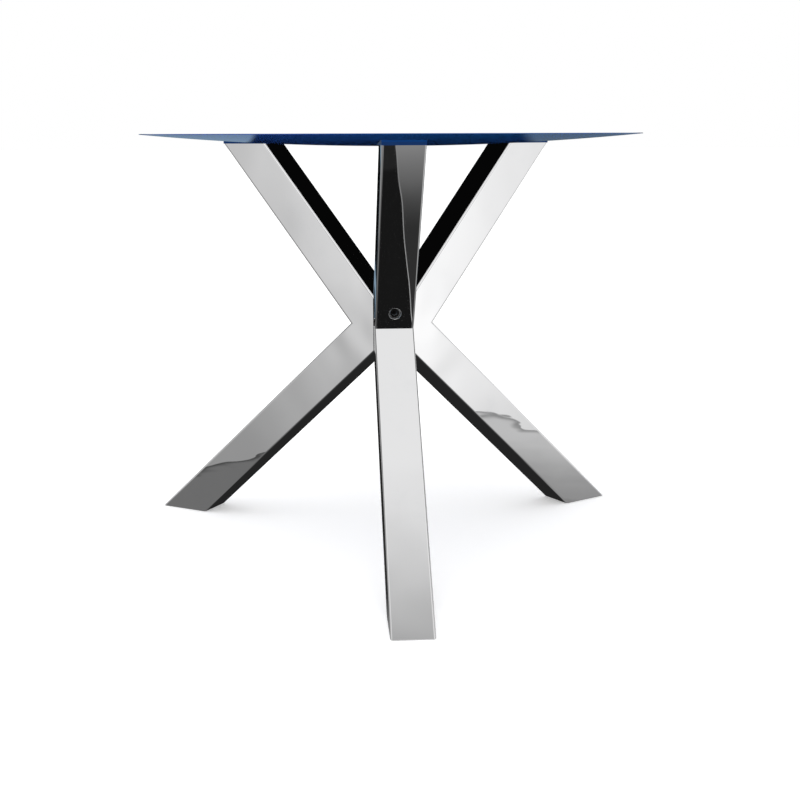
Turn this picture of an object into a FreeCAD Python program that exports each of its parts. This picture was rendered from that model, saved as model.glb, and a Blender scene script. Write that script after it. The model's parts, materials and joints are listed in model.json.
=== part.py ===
import FreeCAD, Part

# Round games table: a thin lens-edged top on three bent legs of square tube.
# The legs are mitred against each other at a hub under the middle of the top and
# bolted to one steel core.  Millimetres, +Z up, floor at Z = 0, front leg along -Y.
#
# Every body is drawn in its leg's own frame, with +X pointing outwards from the hub
# axis, and is then turned about the hub axis to its place.

import math
import os
import re

import Sketcher
from FreeCAD import Placement, Rotation, Vector

SIZES = {
    # tabletop
    "table_height": 750,
    "top_radius": 442,
    "top_thickness": 22,
    "rim_thickness": 1.2,
    "land_depth": 8.5,
    "land_clearance": 1,
    # square tube and the bend of a leg
    "tube_width": 70,
    "tube_wall": 2.5,
    "tube_corner": 4,
    "kink_radius": 68,
    "kink_height": 408,
    "upper_lean": 39.5,
    "lower_lean": 47.42,
    "arm_length": 640,
    "floor_gap": 1,
    # hub
    "hub_flat": 16.3,
    "seam_gap": 0.25,
    "hub_plate_thickness": 6,
    "hub_plate_low": 365,
    "hub_plate_high": 450,
    "hub_core_low": 362,
    "hub_core_high": 454,
    "bolt_height": 438,
    "bolt_radius": 5,
    "bolt_hole_radius": 5.5,
    "bolt_end": 7,
    "bolt_seat": 70,
    "bolt_head_radius": 8,
    "bolt_head_height": 10,
    "bolt_socket_width": 8,
    "bolt_socket_depth": 5,
    "washer_radius": 10,
    "washer_thickness": 2,
    "sleeve_radius": 9,
    "tapped_hole_end": 5,
    "access_distance": 39,
    "access_radius": 10.8,
    # plates that carry the top
    "plate_inner": 190,
    "plate_outer": 335,
    "plate_thickness": 5,
    "pad_thickness": 4.5,
    "screw_first": 204,
    "screw_pitch": 26,
    "screw_spread": 44,
    "screw_radius": 3,
    "screw_hole_radius": 3.3,
    "screw_head_radius": 6,
    "screw_length": 15,
    "insert_radius": 4.5,
    "insert_length": 6,
    # feet
    "cap_clearance": 0.2,
    "cap_top": 26,
    "glide_reach": 450,
    "glide_radius": 15,
    "glide_thickness": 5,
    "glide_recess_radius": 16,
    "glide_headroom": 0.3,
    "stud_radius": 4,
    "stud_top": 34,
    "stud_clearance": 0.06,
    "nut_radius": 6,
    "nut_low": 6,
    "nut_high": 22,
}

LEGS = {"front": -90, "right": 30, "left": 150}

# Lengths that follow from the driving sizes.
MITRE_SLOPE = "tan((lower_lean - upper_lean) / 2)"
LAND_HEIGHT = "(table_height - land_depth)"
PLATE_TOP = f"({LAND_HEIGHT} - pad_thickness)"
TUBE_TOP = f"({PLATE_TOP} - plate_thickness)"
FOOT_REACH = "(kink_radius + (kink_height - floor_gap) * tan(lower_lean))"
HUB_SHIFT = f"({FOOT_REACH} - top_radius) / 2"
SEAM_X = "(seam_gap / sin(60))"
GLIDE_CEILING = "(glide_thickness + glide_headroom)"
PLATE_HALF_WIDTH = "(tube_width / 2)"

doc = FreeCAD.newDocument("games_table")
sheet = doc.addObject("Spreadsheet::Sheet", "Sizes")
sub_parts = []


def fill_sheet():
    """Write each driving size in its own row, with its name as the cell's alias."""
    for row, (name, size) in enumerate(SIZES.items(), start=1):
        sheet.set(f"A{row}", name)
        sheet.set(f"B{row}", str(size))
        sheet.setAlias(f"B{row}", name)
    doc.recompute()


def formula(text):
    """Point every size named in the text at its cell."""
    return re.sub(r"[a-z_]+", lambda word: f"Sizes.{word[0]}" if word[0] in SIZES else word[0], str(text))


def bind(thing, **values):
    """Bind properties of a document object to formulas on the sheet."""
    for prop, text in values.items():
        thing.setExpression(prop.replace("__", "."), formula(text))


def add_body(label, azimuth=0.0):
    """A body turned to its leg's azimuth about the hub axis."""
    body = doc.addObject("PartDesign::Body", label)
    body.Label = label
    body.Placement = Placement(Vector(0, 0, 0), Rotation(Vector(0, 0, 1), azimuth))
    bind(body, Placement__Base__y=HUB_SHIFT)
    return body


def add_sketch(body, plane, normal_offset=None, base=None, tilt=None):
    """A sketch on one of the body's origin planes.

    normal_offset moves it along the plane's normal.  base and tilt place it at a point
    of the XZ plane, with its normal leaning from +Z towards +X by tilt degrees.
    """
    sketch = body.newObject("Sketcher::SketchObject", f"{body.Name}_sketch")
    support = next(f for f in body.Origin.OriginFeatures if f.Role == plane)
    sketch.AttachmentSupport = [(support, "")]
    sketch.MapMode = "FlatFace"
    if normal_offset is not None:
        bind(sketch, AttachmentOffset__Base__z=normal_offset)
    if tilt is not None:
        sketch.AttachmentOffset = Placement(Vector(0, 0, 0), Rotation(Vector(0, 1, 0), 1))
        bind(sketch, AttachmentOffset__Base__x=base[0], AttachmentOffset__Base__z=base[1],
             AttachmentOffset__Rotation__Angle=tilt)
    return sketch


def pin_point(sketch, geometry, point, x, y, start=(1.0, 1.0)):
    """Fix one point of a sketch's geometry at (x, y) from the sketch's origin."""
    for axis, text, distance in (("X", x, start[0]), ("Y", y, start[1])):
        index = sketch.addConstraint(
            Sketcher.Constraint(f"Distance{axis}", -1, 1, geometry, point, distance))
        sketch.setExpression(f"Constraints[{index}]", formula(text))


def draw_polygon(sketch, points):
    """A closed outline whose corners are formulas."""
    first = sketch.GeometryCount
    count = len(points)
    corners = [Vector(math.cos(math.tau * i / count), math.sin(math.tau * i / count), 0)
               for i in range(count)]
    for i in range(count):
        sketch.addGeometry(Part.LineSegment(corners[i], corners[(i + 1) % count]))
    for i, (x, y) in enumerate(points):
        sketch.addConstraint(
            Sketcher.Constraint("Coincident", first + i, 2, first + (i + 1) % count, 1))
        pin_point(sketch, first + i, 1, x, y)


def draw_rectangle(sketch, x_low, x_high, y_low, y_high):
    draw_polygon(sketch, [(x_low, y_low), (x_high, y_low), (x_high, y_high), (x_low, y_high)])


def draw_circle(sketch, x, y, radius):
    circle = sketch.addGeometry(Part.Circle(Vector(0, 0, 0), Vector(0, 0, 1), 1.0))
    pin_point(sketch, circle, 3, x, y)
    index = sketch.addConstraint(Sketcher.Constraint("Radius", circle, 1.0))
    sketch.setExpression(f"Constraints[{index}]", formula(radius))


def draw_hexagon(sketch, x, y, across_flats):
    """A regular hexagon with two corners on the line through its centre along X."""
    corner = f"({across_flats}) / sqrt(3)"
    draw_polygon(sketch, [(f"{x} + {corner} * cos({60 * i})", f"{y} + {corner} * sin({60 * i})")
                          for i in range(6)])


def pad(body, sketch, length, symmetric=False):
    feature = body.newObject("PartDesign::Pad", f"{body.Name}_pad")
    feature.Profile = sketch
    if symmetric:
        feature.SideType = "Symmetric"
    bind(feature, Length=length)
    doc.recompute()
    return feature


def cut(body, sketch, length=None, backwards=False, symmetric=False):
    """Cut the sketch through everything both ways, or to the given depth."""
    before = body.Shape.Volume
    feature = body.newObject("PartDesign::Pocket", f"{body.Name}_cut")
    feature.Profile = sketch
    if length is None:
        feature.Type = "ThroughAll"
    else:
        feature.Reversed = backwards
        bind(feature, Length=length)
    if length is None or symmetric:
        feature.SideType = "Symmetric"
    doc.recompute()
    if body.Shape.Volume >= before - 1e-3:
        raise RuntimeError(f"{feature.Name} removes nothing")
    return feature


def revolve(body, sketch, axis):
    feature = body.newObject("PartDesign::Revolution", f"{body.Name}_turned")
    feature.Profile = sketch
    feature.ReferenceAxis = (next(f for f in body.Origin.OriginFeatures if f.Role == axis), [""])
    feature.Angle = 360
    doc.recompute()
    return feature


def fillet(body, feature, chosen, radius):
    """Round those edges of a feature for which chosen(edge) is true."""
    names = [f"Edge{i}" for i, edge in enumerate(feature.Shape.Edges, start=1) if chosen(edge)]
    rounded = body.newObject("PartDesign::Fillet", f"{body.Name}_fillet")
    rounded.Base = (feature, names)
    bind(rounded, Radius=radius)
    doc.recompute()
    return rounded


def finish(thing):
    """Keep an object as one of the table's pieces."""
    sub_parts.append(thing)
    return thing


def group(label, pieces):
    """Join identical fasteners, as separate solids, in one piece."""
    compound = doc.addObject("Part::Compound", label)
    compound.Label = label
    compound.Links = pieces
    doc.recompute()
    return finish(compound)


# ---------------------------------------------------------------- legs

def arm_section(side, inset="0"):
    """Formulas for a tube's square section; side is the sign of X inside the tube."""
    near = f"{side} * ({inset})"
    far = f"{side} * (tube_width - ({inset}))"
    half = f"(tube_width / 2 - ({inset}))"
    return (near, far, f"-{half}", half) if side > 0 else (far, near, f"-{half}", half)


def trim_at_hub(body):
    """Cut away what lies past the flat on the hub core and the two neighbours' mitres."""
    wide = "tube_width"
    corner = f"(hub_flat - {SEAM_X}) * tan(60)"
    reach = f"({wide} - {SEAM_X}) * tan(60)"
    sketch = add_sketch(body, "XY_Plane")
    draw_polygon(sketch, [("hub_flat", corner), (wide, reach), (f"-{wide}", reach),
                          (f"-{wide}", f"-{reach}"), (wide, f"-{reach}"),
                          ("hub_flat", f"-({corner})")])
    cut(body, sketch)


def trim_side(body, *outlines):
    """Cut outlines of the leg's side view through the full width of the tube."""
    sketch = add_sketch(body, "XZ_Plane")
    for outline in outlines:
        draw_polygon(sketch, outline)
    cut(body, sketch)


def mitre_outline(far_height):
    """The half plane past the bend's mitre, as far as the given height."""
    left = "-arm_length"
    right = "arm_length"
    left_height = f"kink_height - (arm_length + kink_radius) * {MITRE_SLOPE}"
    right_height = f"kink_height + (arm_length - kink_radius) * {MITRE_SLOPE}"
    return [(left, left_height), (right, right_height), (right, far_height), (left, far_height)]


def slab_outline(low, high):
    return [("-arm_length", low), ("arm_length", low), ("arm_length", high), ("-arm_length", high)]


def is_long_edge(edge):
    """True for the edges that run along a padded section."""
    return edge.Length > SIZES["arm_length"]


def make_tube(label, azimuth, side, tilt, cut_outlines):
    """One arm of a leg: rounded square tube, trimmed at both ends and at the hub."""
    body = add_body(label, azimuth)
    section = add_sketch(body, "XY_Plane", base=("kink_radius", "kink_height"), tilt=tilt)
    draw_rectangle(section, *arm_section(side))
    bar = pad(body, section, "2 * arm_length", symmetric=True)
    fillet(body, bar, is_long_edge, "tube_corner")
    bore = add_sketch(body, "XY_Plane", base=("kink_radius", "kink_height"), tilt=tilt)
    draw_rectangle(bore, *arm_section(side, "tube_wall"))
    cut(body, bore)
    trim_side(body, *cut_outlines)
    trim_at_hub(body)
    return body


def make_upper_tube(name, azimuth):
    top = slab_outline(TUBE_TOP, "2 * table_height")
    body = make_tube(f"{name}_upper_tube", azimuth, -1, "upper_lean", [mitre_outline("-arm_length"), top])
    # access hole through the outer wall, in line with the hub bolt
    x = "kink_radius + access_distance * sin(upper_lean)"
    z = "kink_height + access_distance * cos(upper_lean)"
    sketch = add_sketch(body, "XY_Plane", base=(x, z), tilt="90")
    draw_circle(sketch, "0", "0", "access_radius")
    cut(body, sketch, "12 * tube_wall", symmetric=True)
    return finish(body)


def make_lower_tube(name, azimuth):
    foot = slab_outline("-arm_length", "floor_gap")
    return finish(make_tube(f"{name}_lower_tube", azimuth, 1, "180 - lower_lean",
                            [mitre_outline("2 * table_height"), foot]))


# ---------------------------------------------------------------- hub

def make_hub_plate(name, azimuth):
    """Flat plate welded across a leg's inner end, between its walls."""
    body = add_body(f"{name}_hub_plate", azimuth)
    corner = f"(hub_flat - {SEAM_X}) * tan(60)"
    inside = "(tube_width / 2 - tube_wall)"
    shoulder = f"({inside} / tan(60) + {SEAM_X})"
    back = "hub_flat + hub_plate_thickness"
    plan = add_sketch(body, "XY_Plane", normal_offset="hub_plate_low")
    draw_polygon(plan, [("hub_flat", corner), ("hub_flat", f"-({corner})"), (shoulder, f"-{inside}"),
                        (back, f"-{inside}"), (back, inside), (shoulder, inside)])
    pad(body, plan, "hub_plate_high - hub_plate_low")
    hole = add_sketch(body, "YZ_Plane")
    draw_circle(hole, "0", "bolt_height", "bolt_hole_radius")
    cut(body, hole)
    return finish(body)


def make_bolt_sleeve(name, azimuth):
    """Tube from the hub plate to the bolt's head, so that the leg's wall isn't crushed."""
    body = add_body(f"{name}_bolt_sleeve", azimuth)
    ring = add_sketch(body, "YZ_Plane", normal_offset="hub_flat + hub_plate_thickness")
    draw_circle(ring, "0", "bolt_height", "sleeve_radius")
    draw_circle(ring, "0", "bolt_height", "bolt_hole_radius")
    pad(body, ring, "bolt_seat - washer_thickness - hub_flat - hub_plate_thickness")
    return finish(body)


def make_hub_core():
    """Triangular block with one tapped hole in each face."""
    body = add_body("hub_core")
    plan = add_sketch(body, "XY_Plane", normal_offset="hub_core_low")
    draw_polygon(plan, [(f"2 * hub_flat * cos({azimuth + 180})", f"2 * hub_flat * sin({azimuth + 180})")
                        for azimuth in LEGS.values()])
    pad(body, plan, "hub_core_high - hub_core_low")
    for azimuth in LEGS.values():
        hole = add_sketch(body, "YZ_Plane")
        hole.AttachmentOffset = Placement(Vector(0, 0, 0), Rotation(Vector(0, 1, 0), azimuth))
        bind(hole, AttachmentOffset__Base__x=f"tapped_hole_end * sin({azimuth})",
             AttachmentOffset__Base__z=f"tapped_hole_end * cos({azimuth})")
        draw_circle(hole, "0", "bolt_height", "bolt_radius")
        cut(body, hole, "hub_flat", backwards=True)
    return finish(body)


def make_hub_bolt(name, azimuth):
    """Socket-headed bolt along +X, through sleeve and plate into the core."""
    body = add_body(f"{name}_hub_bolt", azimuth)
    shank = add_sketch(body, "YZ_Plane", normal_offset="bolt_end")
    draw_circle(shank, "0", "bolt_height", "bolt_radius")
    pad(body, shank, "bolt_seat - bolt_end")
    head = add_sketch(body, "YZ_Plane", normal_offset="bolt_seat")
    draw_circle(head, "0", "bolt_height", "bolt_head_radius")
    pad(body, head, "bolt_head_height")
    socket = add_sketch(body, "YZ_Plane", normal_offset="bolt_seat + bolt_head_height")
    draw_hexagon(socket, "0", "bolt_height", "bolt_socket_width")
    cut(body, socket, "bolt_socket_depth")
    return body


def make_hub_washer(name, azimuth):
    body = add_body(f"{name}_hub_washer", azimuth)
    ring = add_sketch(body, "YZ_Plane", normal_offset="bolt_seat - washer_thickness")
    draw_circle(ring, "0", "bolt_height", "washer_radius")
    draw_circle(ring, "0", "bolt_height", "bolt_hole_radius")
    pad(body, ring, "washer_thickness")
    return body


# ---------------------------------------------------------------- top

def screw_places():
    """Centres of one plate's four screws, as formulas in the leg's frame."""
    return [(f"(screw_first + {column} * screw_pitch)", f"({side} * screw_spread / 2)")
            for column in (0, 1) for side in (-1, 1)]


def make_plate_like(label, azimuth, low, thickness):
    """Flat plate with the four screw holes, resting at the given height."""
    body = add_body(label, azimuth)
    plan = add_sketch(body, "XY_Plane", normal_offset=low)
    draw_rectangle(plan, "plate_inner", "plate_outer", f"-{PLATE_HALF_WIDTH}", PLATE_HALF_WIDTH)
    for x, y in screw_places():
        draw_circle(plan, x, y, "screw_hole_radius")
    pad(body, plan, thickness)
    return body


def turn_profile(body, kind, x, y, points):
    """Revolve or groove a profile of (radius, height) formulas about the upright line at (x, y)."""
    sketch = add_sketch(body, "XZ_Plane")
    bind(sketch, AttachmentOffset__Base__z=f"-({y})")
    draw_polygon(sketch, [(f"{x} + ({radius})", height) for radius, height in points])
    axis = sketch.addGeometry(Part.LineSegment(Vector(0, -1, 0), Vector(0, 1, 0)), True)
    pin_point(sketch, axis, 1, x, "0")
    pin_point(sketch, axis, 2, x, "table_height")
    feature = body.newObject(kind, f"{body.Name}_turned")
    feature.Profile = sketch
    feature.ReferenceAxis = (sketch, ["Axis0"])
    feature.Angle = 360
    doc.recompute()
    return feature


def make_top_plate(name, azimuth):
    """Steel plate welded on the leg's upper end, countersunk from below."""
    body = make_plate_like(f"{name}_top_plate", azimuth, TUBE_TOP, "plate_thickness")
    for x, y in screw_places():
        turn_profile(body, "PartDesign::Groove", x, y, [
            ("0", TUBE_TOP), ("screw_head_radius", TUBE_TOP), ("0", f"{TUBE_TOP} + screw_head_radius")])
    return finish(body)


def make_top_pad(name, azimuth):
    """Thin wooden packer between the plate and the underside of the top."""
    return finish(make_plate_like(f"{name}_top_pad", azimuth, PLATE_TOP, "pad_thickness"))


def make_top_screws(name, azimuth):
    """The four countersunk screws of one plate."""
    screws = []
    for x, y in screw_places():
        body = add_body(f"{name}_top_screw", azimuth)
        turn_profile(body, "PartDesign::Revolution", x, y, [
            ("0", TUBE_TOP), ("screw_head_radius - 0.1", TUBE_TOP),
            ("screw_radius", f"{TUBE_TOP} + screw_head_radius - screw_radius - 0.1"),
            ("screw_radius", f"{TUBE_TOP} + screw_length"), ("0", f"{TUBE_TOP} + screw_length")])
        socket = add_sketch(body, "XY_Plane", normal_offset=TUBE_TOP)
        draw_hexagon(socket, x, y, "screw_radius * 4 / 3")
        cut(body, socket, "screw_radius * 2 / 3", backwards=True)
        screws.append(body)
    return screws


def make_top_inserts(name, azimuth):
    """Threaded inserts in the top, one above each screw."""
    inserts = []
    for x, y in screw_places():
        body = add_body(f"{name}_top_insert", azimuth)
        ring = add_sketch(body, "XY_Plane", normal_offset=LAND_HEIGHT)
        draw_circle(ring, x, y, "insert_radius")
        draw_circle(ring, x, y, "screw_radius")
        pad(body, ring, "insert_length")
        inserts.append(body)
    return inserts


def make_tabletop():
    """Flat-topped disc whose underside is one shallow arc down to the middle."""
    body = add_body("tabletop")
    profile = add_sketch(body, "XZ_Plane")
    underside = "table_height - top_thickness"
    rim = "table_height - rim_thickness"
    radius, sag = SIZES["top_radius"], SIZES["top_thickness"] - SIZES["rim_thickness"]
    arc_radius = (radius ** 2 + sag ** 2) / (2 * sag)
    low = SIZES["table_height"] - SIZES["top_thickness"]
    corners = [Vector(0, low, 0), Vector(0, low + sag + SIZES["rim_thickness"], 0),
               Vector(radius, low + sag + SIZES["rim_thickness"], 0), Vector(radius, low + sag, 0)]
    for start, end in zip(corners, corners[1:]):
        profile.addGeometry(Part.LineSegment(start, end))
    circle = Part.Circle(Vector(0, low + arc_radius, 0), Vector(0, 0, 1), arc_radius)
    arc_end = -math.pi / 2 + math.asin(radius / arc_radius)
    arc = profile.addGeometry(Part.ArcOfCircle(circle, -math.pi / 2, arc_end))
    for first, second in ((0, 1), (1, 2)):
        profile.addConstraint(Sketcher.Constraint("Coincident", first, 2, second, 1))
    profile.addConstraint(Sketcher.Constraint("Coincident", 2, 2, arc, 2))
    profile.addConstraint(Sketcher.Constraint("Coincident", arc, 1, 0, 1))
    profile.addConstraint(Sketcher.Constraint("PointOnObject", arc, 3, -2))
    places = [("0", underside), ("0", "table_height"), ("top_radius", "table_height"), ("top_radius", rim)]
    for (line, point), (x, y), corner in zip(((0, 1), (0, 2), (1, 2), (2, 2)), places, corners):
        pin_point(profile, line, point, x, y, start=(corner.x, corner.y))
    revolve(body, profile, "Z_Axis")
    # flat lands for the pads, and blind holes for the inserts
    for azimuth in LEGS.values():
        land = add_turned_sketch(body, azimuth, LAND_HEIGHT)
        draw_rectangle(land, "plate_inner - land_clearance", "plate_outer + land_clearance",
                       f"-({PLATE_HALF_WIDTH} + land_clearance)",
                       f"{PLATE_HALF_WIDTH} + land_clearance")
        cut(body, land, "top_thickness")
        holes = add_turned_sketch(body, azimuth, f"{LAND_HEIGHT} + insert_length")
        for x, y in screw_places():
            draw_circle(holes, x, y, "insert_radius")
        cut(body, holes, "insert_length")
    return finish(body)


def add_turned_sketch(body, azimuth, height):
    """A level sketch at a height, with its X axis turned to a leg's azimuth."""
    sketch = add_sketch(body, "XY_Plane", normal_offset=height)
    sketch.AttachmentOffset = Placement(Vector(0, 0, 0), Rotation(Vector(0, 0, 1), azimuth))
    return sketch


# ---------------------------------------------------------------- feet

def make_foot_cap(name, azimuth):
    """Moulded plug in the tube's lower end, with a recess for the glide."""
    body = add_body(f"{name}_foot_cap", azimuth)
    section = add_sketch(body, "XY_Plane", base=("kink_radius", "kink_height"), tilt="180 - lower_lean")
    draw_rectangle(section, *arm_section(1, "tube_wall + cap_clearance"))
    pad(body, section, "2 * arm_length", symmetric=True)
    trim_side(body, slab_outline("-arm_length", "floor_gap"), slab_outline("cap_top", "2 * table_height"))
    recess = add_sketch(body, "XY_Plane", normal_offset=GLIDE_CEILING)
    draw_circle(recess, "glide_reach", "0", "glide_recess_radius")
    cut(body, recess, "glide_thickness")
    nut_seat = add_sketch(body, "XY_Plane", normal_offset="cap_top")
    draw_circle(nut_seat, "glide_reach", "0", "nut_radius")
    cut(body, nut_seat, "cap_top")
    return finish(body)


def make_foot_nut(name, azimuth):
    """Threaded steel bush moulded into the cap."""
    body = add_body(f"{name}_foot_nut", azimuth)
    ring = add_sketch(body, "XY_Plane", normal_offset="nut_low")
    draw_circle(ring, "glide_reach", "0", "nut_radius")
    draw_circle(ring, "glide_reach", "0", "stud_radius + stud_clearance")
    pad(body, ring, "nut_high - nut_low")
    return body


def make_glide_pad(name, azimuth):
    body = add_body(f"{name}_glide_pad", azimuth)
    turn_profile(body, "PartDesign::Revolution", "glide_reach", "0", [
        ("0", "0"), ("glide_radius - 1", "0"), ("glide_radius", "1"),
        ("glide_radius", "glide_thickness - 1"), ("glide_radius - 1", "glide_thickness"),
        ("0", "glide_thickness")])
    return finish(body)


def make_glide_stud(name, azimuth):
    body = add_body(f"{name}_glide_stud", azimuth)
    turn_profile(body, "PartDesign::Revolution", "glide_reach", "0", [
        ("0", "glide_thickness"), ("stud_radius", "glide_thickness"),
        ("stud_radius", "stud_top - 1"), ("stud_radius - 1", "stud_top"), ("0", "stud_top")])
    return finish(body)


# ---------------------------------------------------------------- assembly

def build():
    fill_sheet()
    make_tabletop()
    make_hub_core()
    fasteners = {"hub_bolts": [], "hub_washers": [], "top_screws": [], "top_inserts": [], "foot_nuts": []}
    for name, azimuth in LEGS.items():
        for make in (make_upper_tube, make_lower_tube, make_hub_plate, make_bolt_sleeve, make_top_plate,
                     make_top_pad, make_foot_cap, make_glide_pad, make_glide_stud):
            make(name, azimuth)
        fasteners["hub_bolts"].append(make_hub_bolt(name, azimuth))
        fasteners["hub_washers"].append(make_hub_washer(name, azimuth))
        fasteners["top_screws"] += make_top_screws(name, azimuth)
        fasteners["top_inserts"] += make_top_inserts(name, azimuth)
        fasteners["foot_nuts"].append(make_foot_nut(name, azimuth))
    for label, pieces in fasteners.items():
        group(label, pieces)
    doc.recompute()


def check():
    """Stop on a failed feature or a bad shape, before anything is written."""
    for thing in doc.Objects:
        if {"Invalid", "Error"} & set(thing.State):
            raise RuntimeError(f"{thing.Name} failed: {thing.State}")
    for thing in sub_parts:
        if thing.Shape.isNull() or not thing.Shape.isValid():
            raise RuntimeError(f"{thing.Label} has no valid shape")


def export():
    os.makedirs("parts", exist_ok=True)
    for thing in sub_parts:
        thing.Shape.exportStep(f"parts/{thing.Label}.step")
        print(f"{thing.Label}: {len(thing.Shape.Solids)} solid(s), {thing.Shape.Volume:.0f} mm3")


build()
check()
export()
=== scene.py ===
import json
import math

import bpy
from mathutils import Euler, Matrix, Vector


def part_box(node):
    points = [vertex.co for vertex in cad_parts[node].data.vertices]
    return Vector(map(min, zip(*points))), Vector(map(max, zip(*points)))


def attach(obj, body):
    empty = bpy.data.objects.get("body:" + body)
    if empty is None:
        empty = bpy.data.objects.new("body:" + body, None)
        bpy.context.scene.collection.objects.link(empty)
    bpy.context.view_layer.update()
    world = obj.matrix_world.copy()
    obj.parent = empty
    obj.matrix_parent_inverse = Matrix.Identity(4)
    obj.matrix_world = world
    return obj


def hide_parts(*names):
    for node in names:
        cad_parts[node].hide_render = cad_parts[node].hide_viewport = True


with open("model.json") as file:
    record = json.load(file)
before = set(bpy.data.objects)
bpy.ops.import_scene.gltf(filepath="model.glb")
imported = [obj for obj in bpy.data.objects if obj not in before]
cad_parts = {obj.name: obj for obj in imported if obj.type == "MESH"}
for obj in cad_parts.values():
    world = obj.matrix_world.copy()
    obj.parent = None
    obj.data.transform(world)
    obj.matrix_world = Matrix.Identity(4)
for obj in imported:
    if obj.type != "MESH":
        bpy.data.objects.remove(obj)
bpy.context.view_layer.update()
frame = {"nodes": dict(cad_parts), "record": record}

# ---------------------------------------------------------------- sizes, in metres

# each leg is modelled along +X and copied to its place, in degrees about the hub axis
LEGS = {"front": -90, "right": 30, "left": 150}
SECTOR = math.radians(60)
# the hub axis at the level of the top
HUB = Vector(frame["record"]["mounts"][0]["pos_m"])
# how near a point lies to a plane that it is on
TOUCH = 1e-5

TOP_LOW, TOP_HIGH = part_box("tabletop")
TOP_RADIUS = (TOP_HIGH.x - TOP_LOW.x) / 2
TOP_SIDES = 256
TOP_RINGS = 40
RIM_THICKNESS = 0.0012
RIM_ROUND = 0.0005
PACKER_LOW, PACKER_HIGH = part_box("front_top_pad")
LAND_CLEARANCE = 0.001
LAND_OVERCUT = 0.01

TUBE_LOW, TUBE_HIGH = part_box("front_lower_tube")
TUBE_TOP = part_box("front_top_plate")[0].z
TUBE_BOTTOM = TUBE_LOW.z
TUBE_WIDTH = TUBE_HIGH.x - TUBE_LOW.x
TUBE_WALL = 0.0025
TUBE_CORNER = 0.004
BAR_LENGTH = 1.28
BEND = Vector((0.068, 0, TUBE_HIGH.z))
UPPER_LEAN = math.radians(39.5)
LOWER_LEAN = math.radians(47.42)
HUB_FLAT = 0.0163
SEAM_GAP = 0.00025
EDGE_ROUND = 0.0006
FOOT_ROUND = 0.0005
WELD_ROUND = 0.0009
ACCESS_DISTANCE = 0.039
ACCESS_RADIUS = 0.0108
ACCESS_DEPTH = 0.036

BOLT_HEIGHT = (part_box("hub_bolts")[0].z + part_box("hub_bolts")[1].z) / 2
BOLT_SEAT = 0.070
BOLT_HEAD_RADIUS = 0.008
BOLT_HEAD_HEIGHT = 0.010
BOLT_HEAD_ROUND = 0.0009
KNURL_SIDES = 96
KNURL_DEPTH = 0.965
SOCKET_FLATS = 0.008
SOCKET_DEPTH = 0.005
SHANK_RADIUS = 0.005
SHANK_END = 0.007

GLIDE_LOW, GLIDE_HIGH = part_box("front_glide_pad")
GLIDE_REACH = HUB.y - (GLIDE_LOW.y + GLIDE_HIGH.y) / 2
GLIDE_RADIUS = (GLIDE_HIGH.x - GLIDE_LOW.x) / 2
PAD_SIDES = 144
PAD_ROUND = 0.0008
NOTCH_DEPTH = 0.94
STUD_LOW, STUD_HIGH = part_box("front_glide_stud")
STUD_RADIUS = (STUD_HIGH.x - STUD_LOW.x) / 2
THREAD_PITCH = 0.00125
THREAD_DEPTH = 0.0007
STUD_ROUND = 0.0005
CORE_OVERLAP = 0.0001
CAP_LOW, CAP_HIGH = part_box("front_foot_cap")
CAP_CLEARANCE = 0.0002
CAP_ROUND = 0.0012
RECESS_RADIUS = 0.016
RECESS_TOP = 0.0053
RECESS_DRILL = 0.02
NUT_RADIUS = 0.006
NUT_DRILL = 0.08

# ---------------------------------------------------------------- modelling helpers


def clear_selection():
    """Leave edit mode with nothing selected."""
    if bpy.context.object and bpy.context.object.mode == "EDIT":
        bpy.ops.object.mode_set(mode="OBJECT")
    bpy.ops.object.select_all(action="DESELECT")


def choose(piece):
    """Make one piece the only selected one, and the active one."""
    clear_selection()
    piece.select_set(True)
    bpy.context.view_layer.objects.active = piece


def settle(piece):
    """Put the piece's place, turn and size into its mesh."""
    choose(piece)
    bpy.ops.object.transform_apply(location=True, rotation=True, scale=True)
    return piece


def added(name):
    """The primitive that was just added, named and with its place in its mesh."""
    piece = bpy.context.object
    piece.name = piece.data.name = name
    return settle(piece)


def add_box(name, low, high):
    clear_selection()
    middle = (Vector(low) + Vector(high)) / 2
    bpy.ops.mesh.primitive_cube_add(size=1, location=middle, scale=Vector(high) - Vector(low))
    return added(name)


def add_rod(name, radius, depth, centre, axis=(0, 0, 1), sides=64):
    """A cylinder about an axis through its centre."""
    clear_selection()
    turn = Vector(axis).to_track_quat("Z", "Y").to_euler()
    bpy.ops.mesh.primitive_cylinder_add(
        vertices=sides, radius=radius, depth=depth, location=centre, rotation=turn)
    return added(name)


def pick(piece, kind, test):
    """In edit mode, select only the edges or faces that pass the test."""
    choose(piece)
    bpy.ops.object.mode_set(mode="EDIT")
    bpy.ops.mesh.select_mode(type=kind)
    bpy.ops.mesh.select_all(action="DESELECT")
    bpy.ops.object.mode_set(mode="OBJECT")
    parts = piece.data.edges if kind == "EDGE" else piece.data.polygons
    for part in parts:
        part.select = test(part)
    bpy.ops.object.mode_set(mode="EDIT")


def edge_ends(piece, edge):
    return [piece.data.vertices[i].co for i in edge.vertices]


def bevel_where(piece, width, segments, test):
    """Round the edges both of whose ends pass the test."""
    pick(piece, "EDGE", lambda edge: all(test(co) for co in edge_ends(piece, edge)))
    bpy.ops.mesh.bevel(offset=width, segments=segments, affect="EDGES")
    bpy.ops.object.mode_set(mode="OBJECT")


def use_modifier(piece, kind, **settings):
    """Add a modifier, set it up and apply it."""
    choose(piece)
    modifier = piece.modifiers.new(kind.lower(), kind)
    for name, value in settings.items():
        setattr(modifier, name, value)
    bpy.ops.object.modifier_apply(modifier=modifier.name)


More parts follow.
